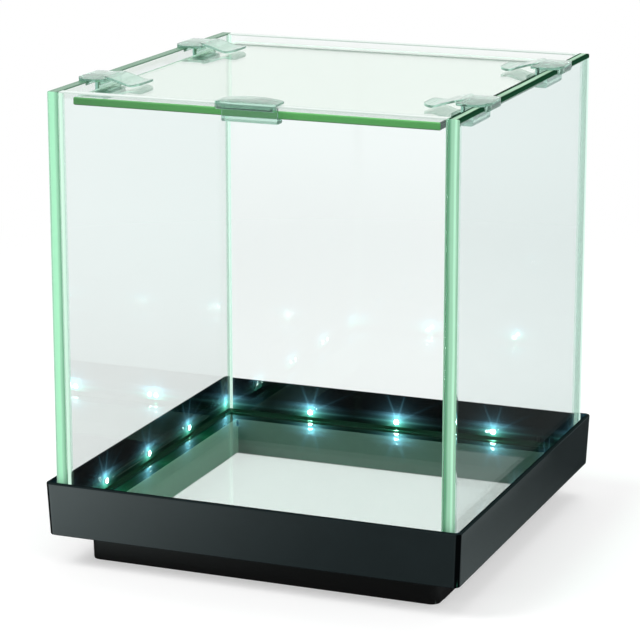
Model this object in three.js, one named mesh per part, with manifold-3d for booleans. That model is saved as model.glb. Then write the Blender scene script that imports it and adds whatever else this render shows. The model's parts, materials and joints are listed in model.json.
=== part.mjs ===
// Nano cube aquarium: a frameless glass tank standing in an illuminated tray on a low plinth.
// Millimetres, +Z up, front towards -Y. The origin is the middle of the footprint, on the table.
import * as THREE from 'three';
import { mergeVertices } from 'three/addons/utils/BufferGeometryUtils.js';
import Module from 'manifold-3d';

const wasm = await Module();
wasm.setup();

// ---- Driving dimensions ---------------------------------------------------------------------

// Tank
const tankWidth = 220; // over the side panes, along X
const tankDepth = 220; // over the front and back panes, along Y
const tankHeight = 231; // pane height
const paneThickness = 6;
const floorThickness = 6;
const glassArris = 0.5; // seamed edge of every pane
const bondGap = 0.3; // silicone film between two panes
const seamLeg = 2; // leg of the silicone fillet in an inside corner

// Cover glass
const coverThickness = 4;
const coverDrop = 3.2; // top of the cover below the rim
const coverGapSide = 5.8; // pane to cover edge, left and right
const coverGapEnd = 2.4; // pane to cover edge, front and back

// Rim clips
const clipPlate = 2.5; // thickness of the saddle plate at its crown
const clipPlateEdge = 1.2; // thickness at the two ends of the leaf
const clipHalfLength = 14.5; // half length of the leaf along the rim
const clipShoulder = 3; // how far the leaf's inner corners are drawn back from its ends
const clipWaist = 5.5; // how far the leaf's outer corners are drawn back from its ends
const clipBelly = 0.9; // how far the leaf's outer side bulges between them
const clipFlange = 2.1; // how far the outer flange stands out from the pane
const clipFlangeDrop = 2.6;
const clipLip = 1.4; // thickness of the flange's lower edge
const clipChamfer = 0.7;
const clipOverhang = 3; // how far the saddle plate reaches past the cover's edge
const clipWall = 2.2; // web beside the cover edge
const clipLedge = 2.6; // ledge under the cover
const clipLedgeReach = 4.8; // ledge under the cover, past its edge
const clipWebHalf = 13.2;
const nibHalf = 6; // half length of the nib that locates the clip behind the pane
const nibDepth = 3;
const nibThickness = 1.2;
const tabWidth = 21;
const tabReach = 33; // tab tip from the pane's outer face
const tabCorner = 4.5;
const tabThickness = 1.2;
const tabDip = 1.1; // lowest point of the tab's top, below the rim
const tabFall = 1 / 3; // share of the tab's free length at which it is halfway down
const tabLow = 0.7; // share at which it is lowest
const tabTip = 0.3; // tip of the tab's top, below the rim
const sideClipSpacing = 122; // between the two clips on one rim
const frontClipOffset = -0.9;
const frontClipHalfLength = 16.6;
const frontClipShoulder = 2.2;
const frontClipWaist = 3;
const frontClipBelly = 0.3;
const frontClipWebHalf = 15;
const frontClipReach = 11;
const frontClipWall = 1.6;

// Tray
const trayHeight = 28.8;
const trayOverhang = 4.8; // tray rim outside the tank
const trayDraft = 1.2; // how much each side draws in from the rim to the foot
const trayCorner = 3.5;
const trayEdgeRound = 0.7;
const trayInnerCorner = 2.5;
const ledgeThickness = 4;
const openingCorner = 1.5;
const recessDepth = 2; // hollow in the tray's underside
const recessSkirt = 2; // outer wall left round it
const recessLand = 1.8; // flat left round the plinth's wall
const ribThickness = 1.4;
const ribsPerSide = 7;
const bossRadius = 3.2;

// Plinth: a thin wall with a flange that is screwed to the tray's underside
const plinthHeight = 16.4;
const plinthInset = 12.4; // outer face in from the tank's outer faces
const plinthDraft = 0.4;
const plinthCorner = 5;
const plinthWall = 2.6;
const plinthEdgeRound = 0.3;
const flangeWidth = 9.4;
const flangeThickness = 1.6;
const flangeCorner = 9;

// Fasteners and feet
const screwsPerSide = 2;
const screwSpacing = 110;
const screwRadius = 1.1;
const screwHeadRadius = 2.2;
const screwHeadHeight = 1.1;
const screwHeadEdge = 0.4; // height of the head's rounded rim
const screwHeadCrown = 0.5;
const screwLength = 5.6;
const screwPoint = 1.2;
const crossLength = 2.6; // cross recess in the screw's head
const crossWidth = 0.7;
const crossDepth = 0.6;
const screwPlay = 0.12;
const padLength = 24;
const padThickness = 0.4;
const padEdge = 0.3; // plinth left bare beside a pad
const padCorner = 0.6;
const padSpacing = 148;

// Lighting
const stripWidth = 10;
const stripThickness = 0.4;
const stripCentre = 9.4; // above the ledge
const stripBreak = 6; // gap between the strip's two ends
const ledIntervals = 4; // along each side, corner to corner
const ledCornerInset = 4.5; // corner light's centre from the tray's inner wall
const ledLength = 3.5;
const ledHeight = 2.8;
const ledDepth = 1.1;
const ledDishRadius = 1.1;
const ledDishDepth = 0.4;
const leadRadius = 0.8;
const leadPlay = 0.5; // beside the lead, between the glass and the strip
const leadTail = 1.2; // how far the lead reaches into the power inlet

// Power inlet
const jackWidth = 9.4;
const jackHeight = 10.6;
const jackBore = 2.75;
const jackBoreDepth = 9;
const jackPinRadius = 1;
const jackPinLength = 8;
const jackPinHeld = 1.8; // length of the pin held in the body
const inletStandoff = 1; // behind the plinth
const inletLip = 0.6; // jack body left outside the lead
const bracketWall = 1.5;
const inletOffset = 81; // from the middle of the back

// Clearances
const seatGap = 0.1; // under anything that lifts off
const touchGap = 0.02; // between glued or clamped faces
const slideGap = 0.3; // beside anything that lifts off

// ---- Derived levels and half sizes ----------------------------------------------------------

const halfWidth = tankWidth / 2;
const halfDepth = tankDepth / 2;
const plinthBase = padThickness;
const plinthTop = plinthBase + plinthHeight;
const trayBase = plinthTop;
const ledgeTop = trayBase + ledgeThickness;
const trayRim = trayBase + trayHeight;
const tankBase = ledgeTop + seatGap;
const tankRim = tankBase + tankHeight;
const floorTop = tankBase + floorThickness;
const coverTop = tankRim - coverDrop;
const coverBase = coverTop - coverThickness;
const stripLevel = ledgeTop + stripCentre;
const openingInset = plinthInset + plinthWall; // in from the tank's outer faces
const screwInset = plinthInset - flangeWidth / 2;
const screwSeat = plinthTop - flangeThickness;
const screwHead = screwSeat - screwHeadHeight - touchGap;
const trayGap = stripThickness + 2 * leadRadius + leadPlay; // between the glass and the tray wall
const past = 1; // how far a cutter runs past the material
const ARC = 6; // segments in a quarter round
const TAB_STEPS = 14;
const SMALL_ROUND = 12; // sides of a small round
const ROUND = 20;

// ---- Geometry helpers -----------------------------------------------------------------------

function solid(geometry) {
  const bare = geometry.clone();
  bare.deleteAttribute('normal');
  bare.deleteAttribute('uv');
  const merged = mergeVertices(bare, 1e-4);
  return new wasm.Manifold(new wasm.Mesh({
    numProp: 3,
    vertProperties: new Float32Array(merged.attributes.position.array),
    triVerts: new Uint32Array(merged.index.array),
  }));
}

function meshed(body) {
  const mesh = body.getMesh();
  const geometry = new THREE.BufferGeometry();
  geometry.setAttribute('position', new THREE.BufferAttribute(mesh.vertProperties.slice(), 3));
  geometry.setIndex(new THREE.BufferAttribute(mesh.triVerts.slice(), 1));
  geometry.computeVertexNormals();
  return geometry;
}

function box(x0, x1, y0, y1, z0, z1) {
  const geometry = new THREE.BoxGeometry(x1 - x0, y1 - y0, z1 - z0);
  return solid(geometry.translate((x0 + x1) / 2, (y0 + y1) / 2, (z0 + z1) / 2));
}

function roundedRectangle(halfX, halfY, radius) {
  const shape = new THREE.Shape();
  shape.moveTo(halfX, -halfY + radius);
  shape.lineTo(halfX, halfY - radius);
  shape.absarc(halfX - radius, halfY - radius, radius, 0, Math.PI / 2);
  shape.lineTo(-halfX + radius, halfY);
  shape.absarc(-halfX + radius, halfY - radius, radius, Math.PI / 2, Math.PI);
  shape.lineTo(-halfX, -halfY + radius);
  shape.absarc(-halfX + radius, -halfY + radius, radius, Math.PI, Math.PI * 1.5);
  shape.lineTo(halfX - radius, -halfY);
  shape.absarc(halfX - radius, -halfY + radius, radius, Math.PI * 1.5, Math.PI * 2);
  return shape;
}

function prism(shape, low, high, round = 0, steps = 1) {
  const geometry = new THREE.ExtrudeGeometry(shape, {
    depth: high - low - 2 * round,
    curveSegments: ARC,
    bevelEnabled: round > 0,
    bevelThickness: round,
    bevelSize: round,
    bevelOffset: -round,
    bevelSegments: steps,
  });
  return geometry.translate(0, 0, low + round);
}

// A prism whose sides draw in by `draft` from its top to its bottom.
function draftedPrism(halfX, halfY, radius, low, high, draft, round, steps) {
  const geometry = prism(roundedRectangle(halfX, halfY, radius), low, high, round, steps);
  const position = geometry.attributes.position;
  for (let i = 0; i < position.count; i++) {
    const inward = draft * (high - position.getZ(i)) / (high - low);
    position.setX(i, position.getX(i) * (1 - inward / halfX));
    position.setY(i, position.getY(i) * (1 - inward / halfY));
  }
  return solid(geometry);
}

function cylinder(radius, x, y, low, high, sides = SMALL_ROUND) {
  const geometry = new THREE.CylinderGeometry(radius, radius, high - low, sides);
  return solid(geometry.rotateX(Math.PI / 2).translate(x, y, (low + high) / 2));
}

function polygon(points) {
  return new THREE.Shape(points.map(([a, b]) => new THREE.Vector2(a, b)));
}

// An outline in the X-Z plane, carried along Y from -half to half.
function alongY(shape, half) {
  return solid(prism(shape, 0, 2 * half).rotateX(Math.PI / 2).translate(0, half, 0));
}

// An outline in the Y-Z plane, carried along X from `from` to `to`.
function alongX(shape, from, to) {
  return solid(prism(shape, 0, to - from).rotateX(Math.PI / 2).rotateZ(Math.PI / 2).translate(from, 0, 0));
}

// ---- Materials ------------------------------------------------------------------------------

function material(color, roughness, metalness = 0, opacity = 1) {
  return new THREE.MeshStandardMaterial({
    color, roughness, metalness, opacity, transparent: opacity < 1,
  });
}

const finishes = {
  glass: () => material(0xc8ead6, 0.02, 0, 0.35),
  clearPlastic: () => material(0xd2e6de, 0.08, 0, 0.5),
  silicone: () => material(0xd6efe4, 0.35, 0, 0.6),
  trayGloss: () => material(0x3b474b, 0.12),
  plinthMatt: () => material(0x0a0b0c, 0.6),
  circuit: () => material(0x0b2a20, 0.45),
  lamp: () => material(0xe8fffb, 0.3),
  steel: () => material(0xa8acb0, 0.35, 1),
  brass: () => material(0xc9a75a, 0.3, 1),
  rubber: () => material(0x17181a, 0.8),
  jackPlastic: () => material(0x121314, 0.5),
  wire: () => material(0x1c1d1e, 0.5),
};

const aquarium = new THREE.Group();

function add(name, geometry, finish) {
  const mesh = new THREE.Mesh(geometry, finishes[finish]());
  mesh.name = name;
  aquarium.add(mesh);
  return mesh;
}

// ---- Glass tank -----------------------------------------------------------------------------

// A pane with seamed edges, lying in X-Y, centred, from z = 0 up.
function pane(width, depth, thickness) {
  return prism(polygon([
    [-width / 2, -depth / 2],
    [width / 2, -depth / 2],
    [width / 2, depth / 2],
    [-width / 2, depth / 2],
  ]), 0, thickness, glassArris);
}

function addTank() {
  const innerWidth = tankWidth - 2 * paneThickness;
  const innerDepth = tankDepth - 2 * paneThickness;
  const play = 2 * (bondGap + touchGap);
  for (const side of [-1, 1]) {
    const end = pane(innerWidth - play, tankHeight, paneThickness).rotateX(Math.PI / 2);
    const endY = side * (halfDepth - paneThickness / 2) + paneThickness / 2;
    end.translate(0, endY, tankBase + tankHeight / 2);
    add(side < 0 ? 'front_pane' : 'back_pane', end, 'glass');
    const flank = pane(tankHeight, tankDepth, paneThickness).rotateY(Math.PI / 2);
    const flankX = side * (halfWidth - paneThickness / 2) - paneThickness / 2;
    flank.translate(flankX, 0, tankBase + tankHeight / 2);
    add(side < 0 ? 'left_pane' : 'right_pane', flank, 'glass');
  }
  const floor = pane(innerWidth - play, innerDepth - play, floorThickness).translate(0, 0, tankBase);
  add('floor_pane', floor, 'glass');
}

// Silicone in an upright inside corner: the bond film between two panes and its concave fillet.
function cornerSeam() {
  const film = polygon([
    [touchGap, -paneThickness + glassArris],
    [bondGap, -paneThickness + glassArris],
    [bondGap, touchGap],
    [touchGap, touchGap],
  ]);
  const fillet = new THREE.Shape();
  fillet.moveTo(touchGap, touchGap);
  fillet.lineTo(seamLeg, touchGap);
  fillet.absarc(seamLeg, seamLeg, seamLeg - touchGap, Math.PI * 1.5, Math.PI, true);
  fillet.lineTo(touchGap, touchGap);
  const filmBody = solid(prism(film, tankBase, tankRim - glassArris));
  const filletBody = solid(prism(fillet, floorTop + seamLeg + touchGap, tankRim - glassArris));
  return filmBody.add(filletBody);
}

// Silicone round the floor: the film at its four edges and a bevelled bead above it.
function floorSeam() {
  const outX = halfWidth - paneThickness - touchGap;
  const outY = halfDepth - paneThickness - touchGap;
  const inX = halfWidth - paneThickness - bondGap;
  const inY = halfDepth - paneThickness - bondGap;
  const beadTop = floorTop + seamLeg;
  const beadBase = floorTop + touchGap;
  const bead = draftedPrism(outX, outY, touchGap, beadBase, beadTop, 0, 0, 1);
  const well = draftedPrism(outX, outY, touchGap, beadBase, beadTop, seamLeg, 0, 1);
  const film = box(-outX, outX, -outY, outY, tankBase, beadBase);
  const floorRoom = box(-inX, inX, -inY, inY, tankBase - past, beadBase);
  return film.subtract(floorRoom).add(bead.subtract(well));
}

function addSeams() {
  const seam = cornerSeam();
  for (const [sideX, nameX] of [[-1, 'left'], [1, 'right']]) {
    for (const [sideY, nameY] of [[-1, 'front'], [1, 'back']]) {
      const flips = sideX * sideY > 0 ? seam : seam.mirror([1, 0, 0]);
      const turned = flips.rotate([0, 0, sideY > 0 ? 180 : 0]);
      const placed = turned.translate([
        sideX * (halfWidth - paneThickness), sideY * (halfDepth - paneThickness), 0]);
      add(`seam_${nameY}_${nameX}`, meshed(placed), 'silicone');
    }
  }
  add('floor_seam', meshed(floorSeam()), 'silicone');
}

// ---- Cover glass and its clips --------------------------------------------------------------

function addCover() {
  const width = tankWidth - 2 * (paneThickness + coverGapSide);
  const depth = tankDepth - 2 * (paneThickness + coverGapEnd);
  add('cover_glass', pane(width, depth, coverThickness).translate(0, 0, coverBase), 'glass');
}

// Clips are drawn with X inward from the pane's outer face, Y along the rim and Z up from it.
function leafOutline(halfLength, inner, shoulder, waist, belly) {
  const shape = new THREE.Shape();
  const middle = (inner - clipFlange) / 2;
  const innerEnd = halfLength - shoulder;
  const outerEnd = halfLength - waist;
  const outer = -clipFlange + belly / 2;
  shape.moveTo(outer, -outerEnd);
  shape.quadraticCurveTo(outer + belly, -halfLength, middle, -halfLength);
  shape.quadraticCurveTo(inner, -halfLength, inner, -innerEnd);
  shape.lineTo(inner, innerEnd);
  shape.quadraticCurveTo(inner, halfLength, middle, halfLength);
  shape.quadraticCurveTo(outer + belly, halfLength, outer, outerEnd);
  shape.quadraticCurveTo(outer - belly, 0, outer, -outerEnd);
  return shape;
}

// A near rectangle with rounded corners and a slightly bowed outer side.
function blockOutline(halfLength, inner, shoulder, waist, belly) {
  const shape = new THREE.Shape();
  const outer = -clipFlange + belly / 2;
  shape.moveTo(outer, -halfLength + waist);
  shape.quadraticCurveTo(outer, -halfLength, outer + waist, -halfLength);
  shape.lineTo(inner - shoulder, -halfLength);
  shape.quadraticCurveTo(inner, -halfLength, inner, -halfLength + shoulder);
  shape.lineTo(inner, halfLength - shoulder);
  shape.quadraticCurveTo(inner, halfLength, inner - shoulder, halfLength);
  shape.lineTo(outer + waist, halfLength);
  shape.quadraticCurveTo(outer, halfLength, outer, halfLength - waist);
  shape.quadraticCurveTo(outer - belly, 0, outer, -halfLength + waist);
  return shape;
}

// Section of the saddle across the rim: crowned plate with a flange outside the pane.
function saddleSection(inner) {
  const shape = new THREE.Shape();
  shape.moveTo(-slideGap, seatGap);
  shape.lineTo(-slideGap, -clipFlangeDrop);
  shape.lineTo(-slideGap - clipLip, -clipFlangeDrop);
  shape.quadraticCurveTo(-clipFlange - clipBelly / 2, 0, -clipFlange, clipPlate / 2);
  shape.quadraticCurveTo(-slideGap, clipPlate, paneThickness / 2, clipPlate + seatGap);
  shape.lineTo(inner, clipPlate);
  shape.lineTo(inner, seatGap);
  return shape;
}

// Section of the leaf along the rim: thick in the middle, thinner at its two ends.
function leafCrown(halfLength) {
  const shape = new THREE.Shape();
  shape.moveTo(-halfLength, -clipFlangeDrop);
  shape.lineTo(halfLength, -clipFlangeDrop);
  shape.lineTo(halfLength, clipPlateEdge);
  shape.quadraticCurveTo(halfLength / 2, clipPlate + seatGap, 0, clipPlate + seatGap);
  shape.quadraticCurveTo(-halfLength / 2, clipPlate + seatGap, -halfLength, clipPlateEdge);
  return shape;
}

function saddle(outline, halfLength, inner) {
  const plan = solid(prism(outline, -clipFlangeDrop, clipPlate + past));
  const across = alongY(saddleSection(inner), halfLength);
  const along = alongX(leafCrown(halfLength), -clipFlange - past, inner);
  return plan.intersect(across).intersect(along);
}

// The sprung tab: an S-shaped blade that dips over the cover and turns up at its rounded tip.
function fingerTab(root) {
  const free = tabReach - root;
  const buried = root - clipOverhang;
  const curve = new THREE.SplineCurve([
    new THREE.Vector2(buried, clipPlate),
    new THREE.Vector2(root, clipPlate - seatGap),
    new THREE.Vector2(root + free * tabFall, clipPlate / 3),
    new THREE.Vector2(root + free * tabLow, -tabDip),
    new THREE.Vector2(tabReach, -tabTip),
  ]);
  const top = curve.getPoints(TAB_STEPS);
  const under = top.map((p) => new THREE.Vector2(p.x, p.y - tabThickness)).reverse();
  const blade = alongY(new THREE.Shape([...top, ...under]), tabWidth / 2);
  const outline = roundedRectangle((tabReach - buried) / 2, tabWidth / 2, tabCorner);
  const plan = prism(outline, -clipPlate * 2, clipPlate * 2).translate((buried + tabReach) / 2, 0, 0);
  return blade.intersect(solid(plan));
}

// The hook: a web down beside the cover's edge and the ledge that carries the cover.
function coverHook(edge, wall, webHalf) {
  const shelf = -coverDrop - coverThickness;
  const foot = shelf - clipLedge;
  const inFace = edge - slideGap / 2;
  const outFace = inFace - wall;
  const toe = edge + clipLedgeReach;
  return alongY(polygon([
    [outFace, clipPlate / 2],
    [outFace, foot + clipChamfer],
    [outFace + clipChamfer, foot],
    [toe - clipChamfer, foot],
    [toe, foot + clipChamfer],
    [toe, shelf - touchGap],
    [inFace, shelf - touchGap],
    [inFace, clipPlate / 2],
  ]), webHalf);
}

function sideClip() {
  const edge = paneThickness + coverGapSide;
  const inner = edge + clipOverhang;
  const nibFrom = paneThickness + slideGap;
  const nib = box(nibFrom, nibFrom + nibThickness, -nibHalf, nibHalf, -nibDepth, clipPlate / 2);
  const leaf = leafOutline(clipHalfLength, inner, clipShoulder, clipWaist, clipBelly);
  return saddle(leaf, clipHalfLength, inner)
    .add(fingerTab(inner))
    .add(coverHook(edge, clipWall, clipWebHalf))
    .add(nib);
}

function frontClip() {
  const edge = paneThickness + coverGapEnd;
  const plate = blockOutline(
    frontClipHalfLength, frontClipReach, frontClipShoulder, frontClipWaist, frontClipBelly);
  return saddle(plate, frontClipHalfLength, frontClipReach)
    .add(coverHook(edge, frontClipWall, frontClipWebHalf));
}

function addClips() {
  const geometry = meshed(sideClip());
  for (const [sideX, nameX] of [[-1, 'left'], [1, 'right']]) {
    for (const [sideY, nameY] of [[-1, 'front'], [1, 'back']]) {
      const clip = add(`rim_clip_${nameY}_${nameX}`, geometry.clone(), 'clearPlastic');
      clip.position.set(sideX * halfWidth, sideY * sideClipSpacing / 2, tankRim);
      clip.rotation.z = sideX < 0 ? 0 : Math.PI;
    }
  }
  const front = add('front_clip', meshed(frontClip()), 'clearPlastic');
  front.position.set(frontClipOffset, -halfDepth, tankRim);
  front.rotation.z = Math.PI / 2;
}

// ---- Tray and plinth ------------------------------------------------------------------------

// Places spread evenly along all four sides, `inset` from the tank's outer faces: [x, y, turn].
function alongSides(count, spacing, inset) {
  const places = [];
  for (let i = 0; i < count; i++) {
    const along = (i - (count - 1) / 2) * spacing;
    for (const side of [-1, 1]) {
      places.push([along, side * (halfDepth - inset), 0]);
      places.push([side * (halfWidth - inset), along, 90]);
    }
  }
  return places;
}

function screwPlaces() {
  return alongSides(screwsPerSide, screwSpacing, screwInset);
}

// The inlet fills the room from the plinth's back to just past the lead.
function inletNear() {
  return halfDepth - plinthInset + inletStandoff;
}

function inletFar() {
  return leadY() + leadRadius + screwPlay + inletLip;
}

// U-shaped bracket under the ledge that holds the power inlet.
function inletBracket() {
  const half = jackWidth / 2 + slideGap / 2;
  const low = trayBase - jackHeight - slideGap;
  const near = inletNear();
  const far = inletFar();
  const outer = box(inletOffset - half - bracketWall, inletOffset + half + bracketWall,
    near, far, low - bracketWall, ledgeTop - recessDepth / 2);
  const room = box(inletOffset - half, inletOffset + half, near - past, far + past, low, trayBase);
  return outer.subtract(room);
}

// A ring between two outlines, from low to high.
function ring(outline, island, low, high) {
  return solid(prism(outline, low, high)).subtract(solid(prism(island, low - past, high + past)));
}

// The hollow in the tray's underside, crossed by ribs and by the bosses for the screws.
function underRecess() {
  const reach = trayOverhang - trayDraft - recessSkirt;
  const outline = roundedRectangle(halfWidth + reach, halfDepth + reach, trayInnerCorner);
  const land = plinthInset - recessLand;
  const island = roundedRectangle(halfWidth - land, halfDepth - land, plinthCorner);
  const width = reach + land;
  const low = trayBase - past;
  const high = trayBase + recessDepth;
  let recess = ring(outline, island, low, high);
  const spacing = 2 * (halfWidth - land) / (ribsPerSide + 1);
  for (const [x, y, turn] of alongSides(ribsPerSide, spacing, (land - reach) / 2)) {
    const rib = box(-ribThickness / 2, ribThickness / 2, -width, width, low - past, high + past);
    recess = recess.subtract(rib.rotate([0, 0, turn]).translate([x, y, 0]));
  }
  for (const [x, y] of screwPlaces()) {
    recess = recess.subtract(cylinder(bossRadius, x, y, low - past, high + past, ROUND));
  }
  return recess;
}

function trayBody() {
  const outerX = halfWidth + trayOverhang;
  const outerY = halfDepth + trayOverhang;
  const shell = draftedPrism(outerX, outerY, trayCorner, trayBase, trayRim, trayDraft, trayEdgeRound, 2);
  const wellPlan = roundedRectangle(halfWidth + trayGap, halfDepth + trayGap, trayInnerCorner);
  const well = solid(prism(wellPlan, ledgeTop, trayRim + past));
  const openPlan = roundedRectangle(halfWidth - openingInset, halfDepth - openingInset, openingCorner);
  const opening = solid(prism(openPlan, trayBase - past, ledgeTop + past));
  const leadHole = cylinder(leadRadius + screwPlay, inletOffset, leadY(), trayBase - past, ledgeTop + past);
  let body = shell.subtract(well).subtract(opening).subtract(underRecess());
  body = body.add(inletBracket()).subtract(leadHole);
  const pilotEnd = screwHead + screwLength + screwPlay;
  for (const [x, y] of screwPlaces()) {
    body = body.subtract(cylinder(screwRadius + screwPlay, x, y, trayBase - past, pilotEnd));
  }
  return body;
}

function plinthBody() {
  const outX = halfWidth - plinthInset;
  const outY = halfDepth - plinthInset;
  const top = plinthTop - touchGap;
  const wall = draftedPrism(outX, outY, plinthCorner, plinthBase, top, plinthDraft, plinthEdgeRound, 2);
  const flangePlan = roundedRectangle(outX + flangeWidth, outY + flangeWidth, flangeCorner);
  const flange = solid(prism(flangePlan, screwSeat, top));
  const openPlan = roundedRectangle(halfWidth - openingInset, halfDepth - openingInset, openingCorner);
  const opening = solid(prism(openPlan, plinthBase - past, top + past));
  let body = wall.add(flange).subtract(opening).subtract(inletNotch());
  for (const [x, y] of screwPlaces()) {
    body = body.subtract(cylinder(screwRadius + screwPlay, x, y, screwSeat - past, top + past));
  }
  return body;
}

// The piece left out of the flange where the inlet's bracket comes down.
function inletNotch() {
  const half = jackWidth / 2 + slideGap / 2 + bracketWall + slideGap;
  const near = inletNear() - slideGap;
  return box(inletOffset - half, inletOffset + half, near, near + flangeWidth, screwSeat - past, plinthTop);
}

function padGeometry(x, y) {
  const width = plinthWall - plinthDraft - 2 * padEdge;
  const plan = roundedRectangle(width / 2, padLength / 2, padCorner);
  return prism(plan, 0, padThickness - touchGap).translate(x, y, 0);
}

function padPlaces() {
  const x = halfWidth - openingInset + (plinthWall - plinthDraft) / 2;
  return [[-x, -padSpacing / 2], [x, -padSpacing / 2], [-x, padSpacing / 2], [x, padSpacing / 2]];
}

// A pan-head self-tapping screw, head down, from the head's face at z = 0 up to its point.
function screwGeometry() {
  const profile = [
    [0, 0],
    [screwHeadRadius - screwHeadCrown, 0],
    [screwHeadRadius, screwHeadEdge],
    [screwHeadRadius, screwHeadHeight],
    [screwRadius, screwHeadHeight],
    [screwRadius, screwLength - screwPoint],
    [0, screwLength],
  ].map(([r, z]) => new THREE.Vector2(r, z));
  const turned = solid(new THREE.LatheGeometry(profile, SMALL_ROUND).rotateX(Math.PI / 2));
  const long = crossLength / 2;
  const half = crossWidth / 2;
  const slot = box(-long, long, -half, half, -past, crossDepth);
  return meshed(turned.subtract(slot).subtract(slot.rotate([0, 0, 90])));
}

function addBase() {
  add('tray_surround', meshed(trayBody()), 'trayGloss');
  add('plinth_frame', meshed(plinthBody()), 'plinthMatt');
  const screw = screwGeometry();
  screwPlaces().forEach(([x, y], i) => {
    const mesh = add(`plinth_screw_${i + 1}`, screw.clone(), 'steel');
    mesh.position.set(x, y, screwHead);
  });
  padPlaces().forEach(([x, y], i) => {
    add(`foot_pad_${i + 1}`, padGeometry(x, y), 'rubber');
  });
}

// ---- Lighting and power inlet ---------------------------------------------------------------

function leadY() {
  return halfDepth + slideGap + leadRadius;
}

function ledStrip() {
  const outX = halfWidth + trayGap - touchGap;
  const outY = halfDepth + trayGap - touchGap;
  const radius = trayInnerCorner - touchGap;
  const low = stripLevel - stripWidth / 2;
  const high = stripLevel + stripWidth / 2;
  const outline = roundedRectangle(outX, outY, radius);
  const island = roundedRectangle(outX - stripThickness, outY - stripThickness, radius - stripThickness);
  const from = inletOffset + stripBreak / 2;
  const cut = box(from, from + stripBreak, 0, outY + past, low - past, high + past);
  return ring(outline, island, low, high).subtract(cut);
}

// One light: a square-cornered package with a round dish in its face, facing +Z.
function ledGeometry() {
  const body = box(-ledLength / 2, ledLength / 2, -ledHeight / 2, ledHeight / 2, 0, ledDepth);
  const dish = cylinder(ledDishRadius, 0, 0, ledDepth - ledDishDepth, ledDepth + past);
  return meshed(body.subtract(dish));
}

function addLights() {
  add('led_strip', meshed(ledStrip()), 'circuit');
  const faceX = halfWidth + trayGap - stripThickness - 2 * touchGap;
  const faceY = halfDepth + trayGap - stripThickness - 2 * touchGap;
  const reachX = halfWidth + trayGap - ledCornerInset;
  const reachY = halfDepth + trayGap - ledCornerInset;
  const places = [];
  for (let i = 0; i <= ledIntervals; i++) {
    const share = 2 * i / ledIntervals - 1;
    places.push([share * reachX, -faceY, 0], [share * reachX, faceY, Math.PI]);
    if (Math.abs(share) < 1) {
      places.push([-faceX, share * reachY, -Math.PI / 2], [faceX, share * reachY, Math.PI / 2]);
    }
  }
  const geometry = ledGeometry().rotateX(Math.PI / 2).rotateZ(Math.PI);
  places.forEach(([x, y, turn], i) => {
    const lamp = add(`led_${String(i + 1).padStart(2, '0')}`, geometry.clone(), 'lamp');
    lamp.position.set(x, y, stripLevel);
    lamp.rotation.z = turn;
  });
}

function jackMiddle() {
  return trayBase - slideGap / 2 - jackHeight / 2;
}

// A round bar along Y, or the cutter for one.
function rod(radius, from, to, sides = SMALL_ROUND) {
  const geometry = new THREE.CylinderGeometry(radius, radius, to - from, sides);
  return geometry.translate(inletOffset, (from + to) / 2, jackMiddle());
}

function jackBody() {
  const near = inletNear();
  const far = inletFar();
  const z = jackMiddle();
  const half = jackWidth / 2;
  const high = z + jackHeight / 2;
  const bottom = far - jackBoreDepth;
  const leadEnd = trayBase - leadTail - slideGap;
  const block = box(inletOffset - half, inletOffset + half, near, far, z - jackHeight / 2, high);
  const pocket = cylinder(leadRadius + screwPlay, inletOffset, leadY(), leadEnd, high + past);
  return block
    .subtract(solid(rod(jackBore, bottom, far + past, ROUND)))
    .subtract(solid(rod(jackPinRadius + touchGap, bottom - jackPinHeld - touchGap, bottom + past)))
    .subtract(pocket);
}

function addInlet() {
  add('dc_jack_body', meshed(jackBody()), 'jackPlastic');
  const pinEnd = inletFar() - jackBoreDepth - jackPinHeld;
  add('dc_jack_pin', rod(jackPinRadius, pinEnd, pinEnd + jackPinLength), 'brass');
  const lead = cylinder(leadRadius, inletOffset, leadY(), trayBase - leadTail, stripLevel);
  add('led_lead', meshed(lead), 'wire');
}

addTank();
addSeams();
addCover();
addClips();
addBase();
addLights();
addInlet();

export default aquarium;
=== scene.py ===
import json
import math

import bmesh
import bpy
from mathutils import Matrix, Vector

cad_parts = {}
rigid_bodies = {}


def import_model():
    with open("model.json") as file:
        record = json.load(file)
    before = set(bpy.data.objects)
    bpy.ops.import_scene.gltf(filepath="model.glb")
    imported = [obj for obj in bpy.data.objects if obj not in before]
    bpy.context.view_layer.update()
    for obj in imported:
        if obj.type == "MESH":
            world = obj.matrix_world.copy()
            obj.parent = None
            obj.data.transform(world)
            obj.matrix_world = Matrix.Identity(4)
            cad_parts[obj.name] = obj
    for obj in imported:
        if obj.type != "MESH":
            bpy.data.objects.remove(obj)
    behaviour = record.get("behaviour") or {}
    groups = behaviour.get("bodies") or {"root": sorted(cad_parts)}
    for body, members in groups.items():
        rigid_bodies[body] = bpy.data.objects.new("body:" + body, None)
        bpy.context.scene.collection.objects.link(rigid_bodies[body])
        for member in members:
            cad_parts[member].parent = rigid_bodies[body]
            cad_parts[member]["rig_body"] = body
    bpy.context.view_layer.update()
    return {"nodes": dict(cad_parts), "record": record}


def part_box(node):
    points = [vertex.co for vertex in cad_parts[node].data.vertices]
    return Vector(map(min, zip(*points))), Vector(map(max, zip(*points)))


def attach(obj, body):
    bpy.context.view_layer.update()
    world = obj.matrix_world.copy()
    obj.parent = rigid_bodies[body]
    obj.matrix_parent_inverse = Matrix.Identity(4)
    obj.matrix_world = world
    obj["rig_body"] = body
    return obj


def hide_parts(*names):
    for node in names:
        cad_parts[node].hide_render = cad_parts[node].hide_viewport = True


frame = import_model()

MM = 0.001
NODES = frame["nodes"]

# ---- Sizes read from the frame --------------------------------------------------------------

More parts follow.
